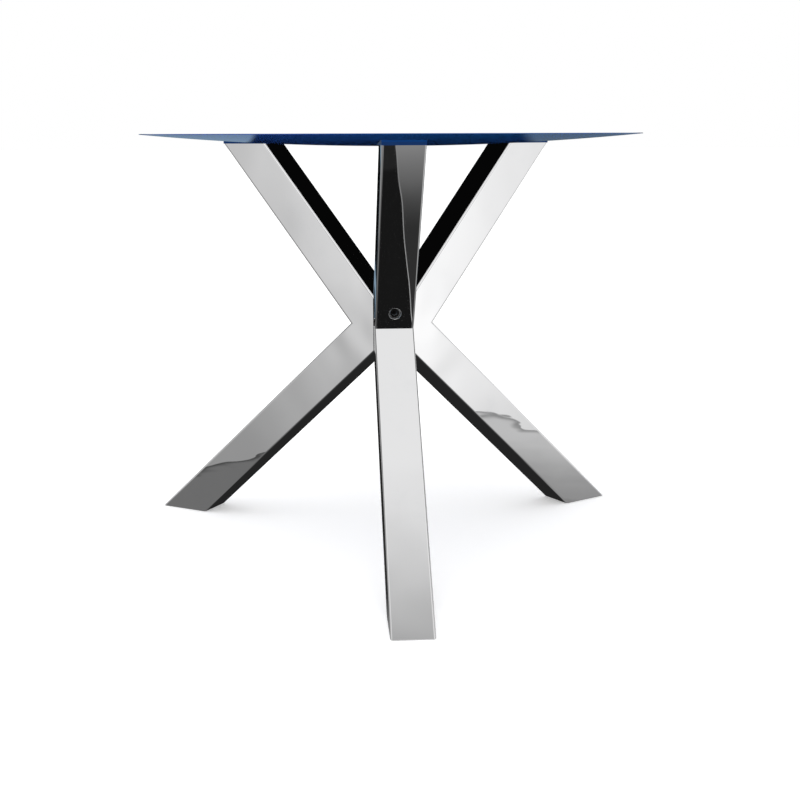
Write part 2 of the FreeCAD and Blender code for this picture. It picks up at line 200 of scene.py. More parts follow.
def boolean(piece, operation, tool):
    """Cut, join or intersect with a tool, and throw the tool away."""
    use_modifier(piece, "BOOLEAN", operation=operation, object=tool, solver="EXACT")
    bpy.data.objects.remove(tool)


def slice_off(piece, point, normal):
    """Cut a convex block with a plane and keep the side away from the normal."""
    choose(piece)
    bpy.ops.object.mode_set(mode="EDIT")
    bpy.ops.mesh.select_all(action="SELECT")
    bpy.ops.mesh.bisect(plane_co=point, plane_no=normal, use_fill=True, clear_outer=True)
    bpy.ops.object.mode_set(mode="OBJECT")


def finish_surface(piece, angle=32):
    """Merge doubled points, smooth the rounds, and keep the flats flat."""
    choose(piece)
    bpy.ops.object.mode_set(mode="EDIT")
    bpy.ops.mesh.select_all(action="SELECT")
    bpy.ops.mesh.remove_doubles(threshold=0.000002)
    bpy.ops.object.mode_set(mode="OBJECT")
    bpy.ops.object.shade_smooth_by_angle(angle=math.radians(angle))
    use_modifier(piece, "WEIGHTED_NORMAL", mode="FACE_AREA", weight=100, keep_sharp=True)


def dress(piece, material, body, slot, *nodes):
    """Give a piece its material, its body and the nodes it stands for; the slot argument is not used."""
    piece.data.materials.clear()
    piece.data.materials.append(material)
    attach(piece, body)
    if nodes:
        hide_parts(*nodes)
    return piece


def copy_to_leg(piece, name, azimuth):
    """A copy with its own mesh, turned from the +X line to a leg's place about the hub axis."""
    twin = piece.copy()
    twin.data = piece.data.copy()
    twin.name = twin.data.name = name
    bpy.context.scene.collection.objects.link(twin)
    turn = Matrix.Rotation(math.radians(azimuth), 4, "Z")
    twin.data.transform(Matrix.Translation((HUB.x, HUB.y, 0)) @ turn)
    return twin


# ---------------------------------------------------------------- node helpers


def node(tree, kind, inputs=None, **settings):
    """A node with its settings and its inputs, each a value or another node's socket."""
    made = tree.nodes.new(kind)
    for name, value in settings.items():
        setattr(made, name, value)
    for name, value in (inputs or {}).items():
        socket = made.inputs[name]
        if isinstance(value, bpy.types.NodeSocket):
            tree.links.new(value, socket)
        else:
            socket.default_value = value
    return made


def maths(tree, operation, *values, clamp=False):
    made = node(tree, "ShaderNodeMath", dict(enumerate(values)), operation=operation, use_clamp=clamp)
    return made.outputs[0]


def product(tree, first, *others):
    for other in others:
        first = maths(tree, "MULTIPLY", first, other)
    return first


def total(tree, first, *others):
    for other in others:
        first = maths(tree, "ADD", first, other)
    return first


def fade(tree, value, start, end, low, high):
    """Goes smoothly from low to high as the value goes from start to end."""
    ends = {"Value": value, "From Min": start, "From Max": end, "To Min": low, "To Max": high}
    made = node(tree, "ShaderNodeMapRange", ends, interpolation_type="SMOOTHSTEP")
    return made.outputs["Result"]


def noise(tree, vector, scale, detail=3.0, roughness=0.5):
    made = node(tree, "ShaderNodeTexNoise",
                {"Vector": vector, "Scale": scale, "Detail": detail, "Roughness": roughness})
    return made.outputs["Fac"]


def object_place(tree, stretch=(1, 1, 1)):
    place = node(tree, "ShaderNodeTexCoord").outputs["Object"]
    return node(tree, "ShaderNodeMapping", {"Vector": place, "Scale": stretch}).outputs["Vector"]


def new_group(name, inputs, outputs):
    """A shader node group with number inputs, one vector input for the place, and number outputs."""
    tree = bpy.data.node_groups.new(name, "ShaderNodeTree")
    tree.interface.new_socket("Place", in_out="INPUT", socket_type="NodeSocketVector")
    for label, value in inputs.items():
        socket = tree.interface.new_socket(label, in_out="INPUT", socket_type="NodeSocketFloat")
        socket.default_value = value
    for label in outputs:
        tree.interface.new_socket(label, in_out="OUTPUT", socket_type="NodeSocketFloat")
    return tree, tree.nodes.new("NodeGroupInput").outputs, tree.nodes.new("NodeGroupOutput").inputs


def use_group(tree, group, **inputs):
    made = tree.nodes.new("ShaderNodeGroup")
    made.node_tree = group
    for label, value in inputs.items():
        socket = made.inputs[label.replace("_", " ")]
        if isinstance(value, bpy.types.NodeSocket):
            tree.links.new(value, socket)
        else:
            socket.default_value = value
    return made.outputs


def make_polish_marks():
    """Fine rubbing marks and a slow waviness, as polishing leaves them."""
    sizes = {"Wave Scale": 9.0, "Mark Scale": 600.0}
    tree, given, out = new_group("polish_marks", sizes, ["Marks", "Wave"])
    broad = noise(tree, given["Place"], given["Wave Scale"], 1.0, 0.4)
    fine = noise(tree, given["Place"], given["Mark Scale"], 4.0, 0.65)
    patches = noise(tree, given["Place"], 45.0, 3.0, 0.6)
    marks = maths(tree, "MULTIPLY", fine, fade(tree, patches, 0.35, 0.75, 0.25, 1.0))
    tree.links.new(marks, out["Marks"])
    tree.links.new(broad, out["Wave"])
    return tree


def make_handling():
    """Soft smudges and settled dust."""
    tree, given, out = new_group("handling", {"Smudge Scale": 14.0}, ["Smudge", "Dust"])
    smudge = noise(tree, given["Place"], given["Smudge Scale"], 5.0, 0.62)
    specks = noise(tree, given["Place"], 900.0, 2.0, 0.7)
    tree.links.new(fade(tree, smudge, 0.48, 0.78, 0.0, 1.0), out["Smudge"])
    tree.links.new(fade(tree, specks, 0.66, 0.74, 0.0, 1.0), out["Dust"])
    return tree


POLISH_MARKS = make_polish_marks()
HANDLING = make_handling()


def new_material(name, **sockets):
    """A material with a Principled surface; constant sockets are set on the shader itself."""
    material = bpy.data.materials.new(name)
    material.use_nodes = True
    tree = material.node_tree
    shader = tree.nodes["Principled BSDF"]
    for label, value in sockets.items():
        shader.inputs[label.replace("_", " ")].default_value = value
    return material, tree, shader


def drive(tree, shader, label, value):
    tree.links.new(value, shader.inputs[label])


def bump(tree, shader, height, distance, strength=1.0, under=None):
    made = node(tree, "ShaderNodeBump", {"Height": height, "Distance": distance, "Strength": strength})
    if under is not None:
        tree.links.new(under, made.inputs["Normal"])
    tree.links.new(made.outputs["Normal"], shader.inputs["Normal"])
    return made.outputs["Normal"]


def mix_colour(tree, share, first, second):
    made = node(tree, "ShaderNodeMix", data_type="RGBA")
    for index, value in ((0, share), (6, first), (7, second)):
        if isinstance(value, bpy.types.NodeSocket):
            tree.links.new(value, made.inputs[index])
        else:
            made.inputs[index].default_value = value
    return made.outputs[2]


# ---------------------------------------------------------------- materials


def make_chrome():
    """Mirror-polished plate: faintly wavy, more so by the welds at the hub."""
    material, tree, shader = new_material("chrome", Metallic=1.0)
    place = object_place(tree)
    marks = use_group(tree, POLISH_MARKS, Place=place, Wave_Scale=7.0, Mark_Scale=750.0)
    smudge = use_group(tree, HANDLING, Place=place, Smudge_Scale=11.0)
    colour = mix_colour(tree, smudge["Smudge"], (0.90, 0.90, 0.905, 1), (0.87, 0.872, 0.88, 1))
    drive(tree, shader, "Base Color", colour)
    rough = maths(tree, "MULTIPLY_ADD", marks["Marks"], 0.03, 0.012)
    rough = maths(tree, "MULTIPLY_ADD", smudge["Smudge"], 0.02, rough)
    drive(tree, shader, "Roughness", rough)
    waves = bump(tree, shader, marks["Wave"], 0.0012)
    centre = node(tree, "ShaderNodeMapping", {
        "Vector": node(tree, "ShaderNodeTexCoord").outputs["Object"],
        "Location": (-HUB.x, -HUB.y, -BEND.z)}).outputs["Vector"]
    reach = node(tree, "ShaderNodeVectorMath", {0: centre}, operation="LENGTH").outputs["Value"]
    near_hub = fade(tree, reach, 0.06, 0.17, 1.0, 0.0)
    ripple = maths(tree, "MULTIPLY", noise(tree, place, 15.0, 0.0, 0.4), near_hub)
    bump(tree, shader, ripple, 0.0014, under=waves)
    return material


def make_lacquer():
    """Deep blue lacquer with a faint orange peel: full gloss on top, a thinner coat underneath."""
    material, tree, shader = new_material("blue_lacquer", Specular_IOR_Level=0.06, Coat_Roughness=0.03)
    place = object_place(tree)
    marks = use_group(tree, POLISH_MARKS, Place=place, Wave_Scale=12.0, Mark_Scale=1400.0)
    handling = use_group(tree, HANDLING, Place=place, Smudge_Scale=6.0)
    pigment = noise(tree, place, 2.5, 2.0, 0.5)
    share = fade(tree, pigment, 0.3, 0.7, 0, 1)
    colour = mix_colour(tree, share, (0.0055, 0.058, 0.200, 1), (0.0115, 0.050, 0.245, 1))
    colour = mix_colour(tree, maths(tree, "MULTIPLY", handling["Dust"], 0.05), colour, (0.5, 0.55, 0.6, 1))
    drive(tree, shader, "Base Color", colour)
    rough = maths(tree, "MULTIPLY_ADD", marks["Marks"], 0.05, 0.05)
    rough = maths(tree, "MULTIPLY_ADD", handling["Smudge"], 0.04, rough)
    drive(tree, shader, "Roughness", rough)
    height = node(tree, "ShaderNodeSeparateXYZ", {"Vector": place}).outputs["Z"]
    gloss = fade(tree, height, TOP_HIGH.z - 0.0011, TOP_HIGH.z - 0.0004, 0.35, 1.0)
    rubbed = maths(tree, "MULTIPLY_ADD", handling["Smudge"], -0.3, 1.0)
    drive(tree, shader, "Coat Weight", maths(tree, "MULTIPLY", gloss, rubbed))
    peel = noise(tree, place, 260.0, 1.0, 0.5)
    bump(tree, shader, peel, 0.00002)
    return material


def make_zinc():
    """Zinc plate with the grain of rolled steel under it."""
    material, tree, shader = new_material("zinc_steel", Metallic=1.0)
    grain = object_place(tree, (1, 1, 14))
    marks = use_group(tree, POLISH_MARKS, Place=grain, Wave_Scale=20.0, Mark_Scale=420.0)
    spangle = noise(tree, object_place(tree), 120.0, 2.0, 0.6)
    colour = mix_colour(tree, spangle, (0.50, 0.51, 0.52, 1), (0.66, 0.67, 0.68, 1))
    drive(tree, shader, "Base Color", colour)
    drive(tree, shader, "Roughness", maths(tree, "MULTIPLY_ADD", marks["Marks"], 0.35, 0.26))
    bump(tree, shader, marks["Marks"], 0.00004)
    return material


def make_black_steel():
    """Black oxide, rubbed brighter in patches."""
    material, tree, shader = new_material("black_steel", Metallic=0.8)
    place = object_place(tree)
    marks = use_group(tree, POLISH_MARKS, Place=place, Wave_Scale=30.0, Mark_Scale=900.0)
    colour = mix_colour(tree, marks["Wave"], (0.012, 0.012, 0.013, 1), (0.04, 0.04, 0.04, 1))
    drive(tree, shader, "Base Color", colour)
    drive(tree, shader, "Roughness", maths(tree, "MULTIPLY_ADD", marks["Marks"], 0.3, 0.22))
    bump(tree, shader, marks["Marks"], 0.00003)
    return material


def make_brass():
    """Turned brass with fine lathe rings."""
    material, tree, shader = new_material("brass", Metallic=1.0)
    bands = {"Vector": object_place(tree), "Scale": 900.0, "Distortion": 0.6}
    rings = node(tree, "ShaderNodeTexWave", bands, bands_direction="Z").outputs["Fac"]
    stain = noise(tree, object_place(tree), 160.0, 3.0, 0.6)
    drive(tree, shader, "Base Color", mix_colour(tree, stain, (0.72, 0.53, 0.22, 1), (0.56, 0.38, 0.15, 1)))
    drive(tree, shader, "Roughness", maths(tree, "MULTIPLY_ADD", rings, 0.12, 0.24))
    bump(tree, shader, rings, 0.00003)
    return material


def make_enamel():
    """Sprayed blue enamel over steel, a little rougher than the lacquer it matches."""
    material, tree, shader = new_material("blue_enamel", Specular_IOR_Level=0.1)
    place = object_place(tree)
    handling = use_group(tree, HANDLING, Place=place, Smudge_Scale=30.0)
    tone = maths(tree, "MULTIPLY", handling["Smudge"], 0.4)
    colour = mix_colour(tree, tone, (0.0055, 0.04, 0.155, 1), (0.008, 0.052, 0.19, 1))
    drive(tree, shader, "Base Color", colour)
    peel = noise(tree, place, 480.0, 2.0, 0.5)
    drive(tree, shader, "Roughness", maths(tree, "MULTIPLY_ADD", peel, 0.2, 0.3))
    bump(tree, shader, peel, 0.00005)
    return material


def make_black_plastic():
    """Moulded plastic with a spark-eroded grain and light scuffs."""
    material, tree, shader = new_material("black_plastic")
    place = object_place(tree)
    grain = node(tree, "ShaderNodeTexVoronoi", {"Vector": place, "Scale": 1500.0}).outputs["Distance"]
    handling = use_group(tree, HANDLING, Place=place, Smudge_Scale=40.0)
    scuff = maths(tree, "MULTIPLY", handling["Smudge"], 0.35)
    colour = mix_colour(tree, scuff, (0.026, 0.026, 0.028, 1), (0.10, 0.10, 0.10, 1))
    drive(tree, shader, "Base Color", colour)
    drive(tree, shader, "Roughness", maths(tree, "MULTIPLY_ADD", grain, 0.3, 0.38))
    bump(tree, shader, grain, 0.00008)
    return material


MATERIALS = {
    "chrome": make_chrome(),
    "blue_lacquer": make_lacquer(),
    "zinc_steel": make_zinc(),
    "black_steel": make_black_steel(),
    "brass": make_brass(),
    "blue_enamel": make_enamel(),
    "black_plastic": make_black_plastic(),
}


def dress_cad_nodes():
    """Give every CAD node the material of its slot."""
    for part in frame["record"]["subparts"]:
        cad = frame["nodes"][part["node"]]
        cad.data.materials.clear()
        cad.data.materials.append(MATERIALS[part["material_slot"]])
        cad.visible_glossy = False


# ---------------------------------------------------------------- tabletop


def make_tabletop():
    """Flat-topped disc: the rim drops a little, then an arc runs in under it to the middle."""
    clear_selection()
    bpy.ops.mesh.primitive_circle_add(
        vertices=TOP_SIDES, radius=TOP_RADIUS, fill_type="NGON", location=(HUB.x, HUB.y, TOP_HIGH.z))
    top = added("blue_tabletop")
    sag = TOP_HIGH.z - TOP_LOW.z - RIM_THICKNESS
    choose(top)
    bpy.ops.object.mode_set(mode="EDIT")
    bpy.ops.mesh.select_mode(type="EDGE")
    bpy.ops.mesh.select_all(action="SELECT")
    bpy.ops.mesh.region_to_loop()
    bpy.ops.mesh.extrude_edges_move(TRANSFORM_OT_translate={"value": (0, 0, -RIM_THICKNESS)})
    for ring in range(TOP_RINGS - 1):
        now = 1 - ring / TOP_RINGS
        then = 1 - (ring + 1) / TOP_RINGS
        drop = sag * (now ** 2 - then ** 2)
        bpy.ops.mesh.extrude_edges_move(TRANSFORM_OT_translate={"value": (0, 0, -drop)})
        bpy.ops.transform.resize(value=(then / now, then / now, 1), center_override=HUB)
    bpy.ops.mesh.fill()
    bpy.ops.mesh.select_all(action="SELECT")
    bpy.ops.mesh.normals_make_consistent(inside=False)
    bpy.ops.object.mode_set(mode="OBJECT")
    cut_lands(top)
    rim_low = TOP_HIGH.z - RIM_THICKNESS / 4
    bevel_where(top, RIM_ROUND, 2, lambda co: co.z > rim_low and
                (co.xy - HUB.xy).length > TOP_RADIUS - RIM_ROUND)
    finish_surface(top, angle=20)
    dress(top, MATERIALS["blue_lacquer"], "table", "blue_lacquer", "tabletop")
    top.visible_glossy = False


def cut_lands(top):
    """Level lands for the three packers, cut into the arc."""
    inner = HUB.y - PACKER_HIGH.y - LAND_CLEARANCE
    outer = HUB.y - PACKER_LOW.y + LAND_CLEARANCE
    half = (PACKER_HIGH.x - PACKER_LOW.x) / 2 + LAND_CLEARANCE
    block = add_box("land", (inner, -half, TOP_LOW.z - LAND_OVERCUT), (outer, half, PACKER_HIGH.z))
    for azimuth in LEGS.values():
        boolean(top, "DIFFERENCE", copy_to_leg(block, "land_tool", azimuth))
    bpy.data.objects.remove(block)


# ---------------------------------------------------------------- legs


def keep_block(name, *planes):
    """A convex block: a cube with each plane's outer side cut off."""
    block = add_box(name, (-1, -1, -1), (1, 1, 1.5))
    for point, normal in planes:
        slice_off(block, point, normal)
    return block


def hub_planes():
    """The flat on the hub core and the two mitres against the neighbouring legs."""
    apex = Vector((SEAM_GAP / math.sin(SECTOR), 0, 0))
    return [((HUB_FLAT, 0, 0), (-1, 0, 0)),
            (apex, (-math.sin(SECTOR), math.cos(SECTOR), 0)),
            (apex, (-math.sin(SECTOR), -math.cos(SECTOR), 0))]


def on_seam(co):
    """True on either mitre against a neighbouring leg."""
    edge = (co.x - SEAM_GAP / math.sin(SECTOR)) * math.tan(SECTOR)
    return abs(abs(co.y) - edge) < TOUCH and co.x > HUB_FLAT + 10 * TOUCH


def rounded_bar(name, width, corner, lean, side, segments):
    """Square bar with rounded long edges and open ends, its outer wall through the bend."""
    half = width / 2
    bar = add_box(name, (-half, -half, -BAR_LENGTH / 2), (half, half, BAR_LENGTH / 2))
    pick(bar, "FACE", lambda face: abs(face.normal.z) > 0.9)
    bpy.ops.mesh.delete(type="FACE")
    bpy.ops.object.mode_set(mode="OBJECT")

    def runs_along(edge):
        first, second = edge_ends(bar, edge)
        return abs(first.z - second.z) > BAR_LENGTH / 2

    pick(bar, "EDGE", runs_along)
    bpy.ops.mesh.bevel(offset=corner, segments=segments, affect="EDGES")
    bpy.ops.object.mode_set(mode="OBJECT")
    turn = Matrix.Rotation(lean, 4, "Y")
    inwards = turn @ Vector((side * TUBE_WIDTH / 2, 0, 0))
    bar.data.transform(Matrix.Translation(BEND + inwards) @ turn)
    return bar


def make_arm(name, lean, side, end_plane, mitre_normal):
    """One arm of the +X leg: hollow tube, cut at the end, the bend and the hub."""
    arm = rounded_bar(name, TUBE_WIDTH, TUBE_CORNER, lean, side, 8)
    use_modifier(arm, "SOLIDIFY", thickness=TUBE_WALL, offset=-1, use_even_offset=True)
    block = keep_block("keep", end_plane, (BEND, mitre_normal), *hub_planes())
    boolean(arm, "INTERSECT", block)
    return arm


def make_upper_arm():
    slope = (LOWER_LEAN - UPPER_LEAN) / 2
    arm = make_arm("upper_arm", UPPER_LEAN, -1, ((0, 0, TUBE_TOP), (0, 0, 1)),
                   (math.sin(slope), 0, -math.cos(slope)))
    along = Vector((math.sin(UPPER_LEAN), 0, math.cos(UPPER_LEAN)))
    outwards = Vector((math.cos(UPPER_LEAN), 0, -math.sin(UPPER_LEAN)))
    centre = BEND + along * ACCESS_DISTANCE
    drill = add_rod("access", ACCESS_RADIUS, ACCESS_DEPTH, centre, (1, 0, 0), sides=72)
    boolean(arm, "DIFFERENCE", drill)
    bevel_where(arm, EDGE_ROUND, 3, lambda co: abs((co - centre).dot(outwards)) < TOUCH
                and (co - centre).length < ACCESS_RADIUS * 1.5)
    bevel_where(arm, EDGE_ROUND, 3, on_seam)
    finish_surface(arm)
    return arm


def make_lower_arm():
    slope = (LOWER_LEAN - UPPER_LEAN) / 2
    arm = make_arm("lower_arm", math.pi - LOWER_LEAN, 1, ((0, 0, TUBE_BOTTOM), (0, 0, -1)),
                   (-math.sin(slope), 0, math.cos(slope)))
    bevel_where(arm, FOOT_ROUND, 2, lambda co: abs(co.z - TUBE_BOTTOM) < TOUCH)
    # a ground edge across the outer wall, where the weld of the bend was dressed
    flat_half = TUBE_WIDTH / 2 - TUBE_CORNER
    bevel_where(arm, WELD_ROUND, 3, lambda co: (co - BEND).length < flat_half + 1e-3
                and abs(co.x - BEND.x) < 10 * TOUCH)
    bevel_where(arm, EDGE_ROUND, 3, on_seam)
    finish_surface(arm)
    return arm


# ---------------------------------------------------------------- hub bolts


def make_hub_bolt():
    """Socket head with a knurled side, seen through the access hole, and its shank."""
    top = BOLT_SEAT + BOLT_HEAD_HEIGHT
    middle = (BOLT_SEAT + BOLT_HEAD_HEIGHT / 2, 0, BOLT_HEIGHT)
    head = add_rod("hub_bolt", BOLT_HEAD_RADIUS, BOLT_HEAD_HEIGHT, middle, (1, 0, 0), sides=KNURL_SIDES)
    bevel_where(head, BOLT_HEAD_ROUND, 3, lambda co: abs(co.x - top) < TOUCH)

    def in_a_groove(edge):
        first, second = edge_ends(head, edge)
        turn = math.atan2(first.y, first.z - BOLT_HEIGHT)
        return (abs(first.x - second.x) > BOLT_HEAD_HEIGHT / 2
                and round(turn / math.tau * KNURL_SIDES) % 2 == 0)

    pick(head, "EDGE", in_a_groove)
    bpy.ops.transform.resize(value=(1, KNURL_DEPTH, KNURL_DEPTH), center_override=middle)
    bpy.ops.object.mode_set(mode="OBJECT")
    socket_corner = SOCKET_FLATS / math.sqrt(3)
    socket = add_rod("socket", socket_corner, 2 * SOCKET_DEPTH, (top, 0, BOLT_HEIGHT), (1, 0, 0), sides=6)
    boolean(head, "DIFFERENCE", socket)
    shank = add_rod("shank", SHANK_RADIUS, BOLT_SEAT - SHANK_END,
                    ((BOLT_SEAT + SHANK_END) / 2, 0, BOLT_HEIGHT), (1, 0, 0), sides=48)
    boolean(head, "UNION", shank)
    finish_surface(head, angle=25)
    return head


# ---------------------------------------------------------------- feet


def make_foot_cap():
    """Moulded plug that fills the tube's lower end, with the glide's recess and the nut's bore."""
    half = TUBE_WIDTH / 2 - TUBE_WALL - CAP_CLEARANCE
    plug = add_box("foot_cap", (-half, -half, -BAR_LENGTH / 2), (half, half, BAR_LENGTH / 2))
    turn = Matrix.Rotation(math.pi - LOWER_LEAN, 4, "Y")
    plug.data.transform(Matrix.Translation(BEND + turn @ Vector((TUBE_WIDTH / 2, 0, 0))) @ turn)
    slice_off(plug, (0, 0, CAP_LOW.z), (0, 0, -1))
    slice_off(plug, (0, 0, CAP_HIGH.z), (0, 0, 1))
    use_modifier(plug, "BEVEL", width=CAP_ROUND, segments=3, limit_method="ANGLE")
    boolean(plug, "DIFFERENCE", add_rod("nut_bore", NUT_RADIUS, NUT_DRILL, (GLIDE_REACH, 0, 0)))
    recess = add_rod("recess", RECESS_RADIUS, RECESS_DRILL, (GLIDE_REACH, 0, RECESS_TOP - RECESS_DRILL / 2))
    boolean(plug, "DIFFERENCE", recess)
    bevel_where(plug, EDGE_ROUND, 2, lambda co: abs(co.z - CAP_LOW.z) < TOUCH and
                abs((co.xy - Vector((GLIDE_REACH, 0))).length - RECESS_RADIUS) < 20 * TOUCH)
    finish_surface(plug, angle=25)
    return plug


def make_glide_pad():
    """Round pad with finger notches in its rim."""
    height = GLIDE_HIGH.z - GLIDE_LOW.z
    pad = add_rod("glide_pad", GLIDE_RADIUS, height,
                  (GLIDE_REACH, 0, GLIDE_LOW.z + height / 2), sides=PAD_SIDES)

    def in_a_notch(edge):
        first, second = edge_ends(pad, edge)
        turn = math.atan2(first.y, first.x - GLIDE_REACH) / math.tau * PAD_SIDES
        return abs(first.z - second.z) > height / 2 and round(turn) % 12 in (0, 1, 2)

    pick(pad, "EDGE", in_a_notch)
    bpy.ops.transform.resize(value=(NOTCH_DEPTH, NOTCH_DEPTH, 1), center_override=(GLIDE_REACH, 0, 0))
    bpy.ops.object.mode_set(mode="OBJECT")
    use_modifier(pad, "BEVEL", width=PAD_ROUND, segments=3, limit_method="ANGLE",
                 angle_limit=math.radians(60))
    finish_surface(pad, angle=40)
    return pad


def make_glide_stud():
    """Threaded stud: a V-shaped coil is screwed up the axis, round a core."""
    root = STUD_RADIUS - THREAD_DEPTH
    turns = int((STUD_HIGH.z - STUD_LOW.z) / THREAD_PITCH) - 2
    clear_selection()
    bpy.ops.mesh.primitive_plane_add(size=1)
    thread = added("glide_stud")
    outline = [(root, 0.02), (STUD_RADIUS, 0.42), (STUD_RADIUS, 0.58), (root, 0.98)]
    for index, (radius, share) in zip((0, 1, 3, 2), outline):
        thread.data.vertices[index].co = Vector((radius, 0, THREAD_PITCH * share))
    pick(thread, "FACE", lambda face: True)
    bpy.ops.mesh.delete(type="ONLY_FACE")
    bpy.ops.object.mode_set(mode="OBJECT")
    use_modifier(thread, "SCREW", axis="Z", angle=math.tau, screw_offset=THREAD_PITCH,
                 iterations=turns, steps=32, render_steps=32)
    bpy.ops.object.mode_set(mode="EDIT")
    bpy.ops.mesh.select_all(action="SELECT")
    bpy.ops.mesh.fill_holes(sides=4)
    bpy.ops.mesh.select_all(action="SELECT")
    bpy.ops.mesh.normals_make_consistent(inside=False)
    bpy.ops.object.mode_set(mode="OBJECT")
    thread.data.transform(Matrix.Translation((GLIDE_REACH, 0, STUD_LOW.z + THREAD_PITCH / 2)))
    core = add_rod("stud_core", root + CORE_OVERLAP, STUD_HIGH.z - STUD_LOW.z,
                   (GLIDE_REACH, 0, (STUD_LOW.z + STUD_HIGH.z) / 2), sides=48)
    use_modifier(core, "BEVEL", width=STUD_ROUND, segments=2, limit_method="ANGLE")
    choose(thread)
    core.select_set(True)
    bpy.ops.object.join()
    finish_surface(thread, angle=35)
    return thread


# ---------------------------------------------------------------- the object


def build_object():
    dress_cad_nodes()
    make_tabletop()
    upper, lower, bolt = make_upper_arm(), make_lower_arm(), make_hub_bolt()
    cap, pad, stud = make_foot_cap(), make_glide_pad(), make_glide_stud()
    bolts = []
    for leg, azimuth in LEGS.items():
        glide = f"{leg}_glide"
        for pattern, piece, slot, body, cad in (
                (upper, "upper_arm", "chrome", "table", "upper_tube"),
                (lower, "lower_arm", "chrome", "table", "lower_tube"),
                (cap, "tube_plug", "black_plastic", "table", "foot_cap"),
                (pad, "glide_foot", "black_plastic", glide, "glide_pad"),
                (stud, "glide_screw", "zinc_steel", glide, "glide_stud")):
            made = copy_to_leg(pattern, f"{leg}_{piece}", azimuth)
            dress(made, MATERIALS[slot], body, slot, f"{leg}_{cad}")
            made.visible_glossy = piece != "upper_arm"
        bolts.append(copy_to_leg(bolt, f"{leg}_socket_bolt", azimuth))
    for made in bolts:
        dress(made, MATERIALS["black_steel"], "table", "black_steel")
        made.visible_glossy = False
    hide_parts("hub_bolts")
    for pattern in (upper, lower, bolt, cap, pad, stud):
        bpy.data.objects.remove(pattern)


# ---------------------------------------------------------------- stage, light and camera

CAMERA_DISTANCE = 2.2744
CAMERA_TURN = 0.0595
CAMERA_PAN = 0.0658
CAMERA_TILT = 0.2110
CAMERA_ROLL = -0.003
CAMERA_LENS = 56.04


def make_camera():
    data = bpy.data.cameras.new("camera")
    data.lens = CAMERA_LENS
    data.sensor_width = 36
    data.clip_end = 200
    camera = bpy.data.objects.new("camera", data)
    bpy.context.scene.collection.objects.link(camera)
    back = Vector((-math.sin(CAMERA_TURN), -math.cos(CAMERA_TURN), 0)) * CAMERA_DISTANCE
    level = Euler((math.pi / 2 - CAMERA_TILT, 0, -CAMERA_PAN)).to_matrix()
    turn = level @ Matrix.Rotation(CAMERA_ROLL, 3, "Z")
    camera.matrix_world = Matrix.Translation(HUB + back) @ turn.to_4x4()
    bpy.context.scene.camera = camera


def make_painted_reflection(tree, place):
    """Painted reflection of the floor, seen only by glossy rays: its glow, and where the painted patch
    lies: two values.
    """
    split = node(tree, "ShaderNodeSeparateXYZ", {"Vector": place}).outputs
    sway = maths(tree, "MULTIPLY_ADD", noise(tree, place, 7.0, 2.0, 0.5), 0.22, -0.11)
    x = maths(tree, "ADD", split["X"], sway)
    y = split["Y"]
    # the sides run in towards the front, and flare out behind the feet
    slant = maths(tree, "ADD", maths(tree, "MINIMUM", y, 0.1), 0.2)
    behind = maths(tree, "SUBTRACT", maths(tree, "MAXIMUM", y, 0.1), 0.1)
    flare = maths(tree, "MULTIPLY", behind, 0.7)
    left_painted_edge = maths(tree, "ADD", maths(tree, "MULTIPLY_ADD", slant, -0.38, x), flare)
    right_painted_edge = maths(tree, "SUBTRACT", maths(tree, "MULTIPLY_ADD", slant, 0.48, x), flare)

    # painted reflection: dull under the left leg, brighter outwards under the right one, and painted shade,
    # dark, in the middle
    under_left = product(tree, fade(tree, x, -0.22, -0.36, 0, 1), 0.165)
    under_right = product(tree, fade(tree, x, 0.24, 0.40, 0, 1), fade(tree, x, 0.40, 0.95, 0.30, 0.56))
    middle = product(tree, fade(tree, x, -0.36, -0.22, 0, 1), fade(tree, x, 0.40, 0.24, 0, 1),
                     fade(tree, y, -0.25, -0.55, 0.030, 0.33), fade(tree, y, -0.55, -0.78, 1.0, 0.06))
    painted_brightness = total(tree, under_left, under_right, middle)

    # painted light: only the floor in front of the two rear legs is painted lit, the rest gets a faint
    # painted shade
    beyond = maths(tree, "MULTIPLY", maths(tree, "SUBTRACT", y, HUB.y), -math.sin(SECTOR))
    ahead = maths(tree, "MULTIPLY_ADD", maths(tree, "ABSOLUTE", split["X"]), 0.5, beyond)
    lit = fade(tree, ahead, TUBE_WIDTH / 2 - 0.012, TUBE_WIDTH / 2 + 0.004, 0.0, 1.0)
    unlit = maths(tree, "SUBTRACT", 1.0, lit)
    painted_brightness = total(tree, product(tree, painted_brightness, lit), product(tree, unlit, 0.018))

    # painted shade: darker bands along the patch's wavy sides
    left_painted_shade = fade(tree, left_painted_edge, -0.76, -0.72, 0.40, 1.0)
    right_painted_shade = fade(tree, right_painted_edge, 1.03, 0.99, 0.5, 1.0)
    painted_brightness = product(tree, painted_brightness, left_painted_shade, right_painted_shade)
    inside = product(tree, fade(tree, left_painted_edge, -0.765, -0.76, 0, 1),
                     fade(tree, right_painted_edge, 1.035, 1.03, 0, 1),
                     fade(tree, y, -1.6, -1.5, 0, 1), fade(tree, y, 2.6, 2.4, 0, 1))
    return painted_brightness, inside


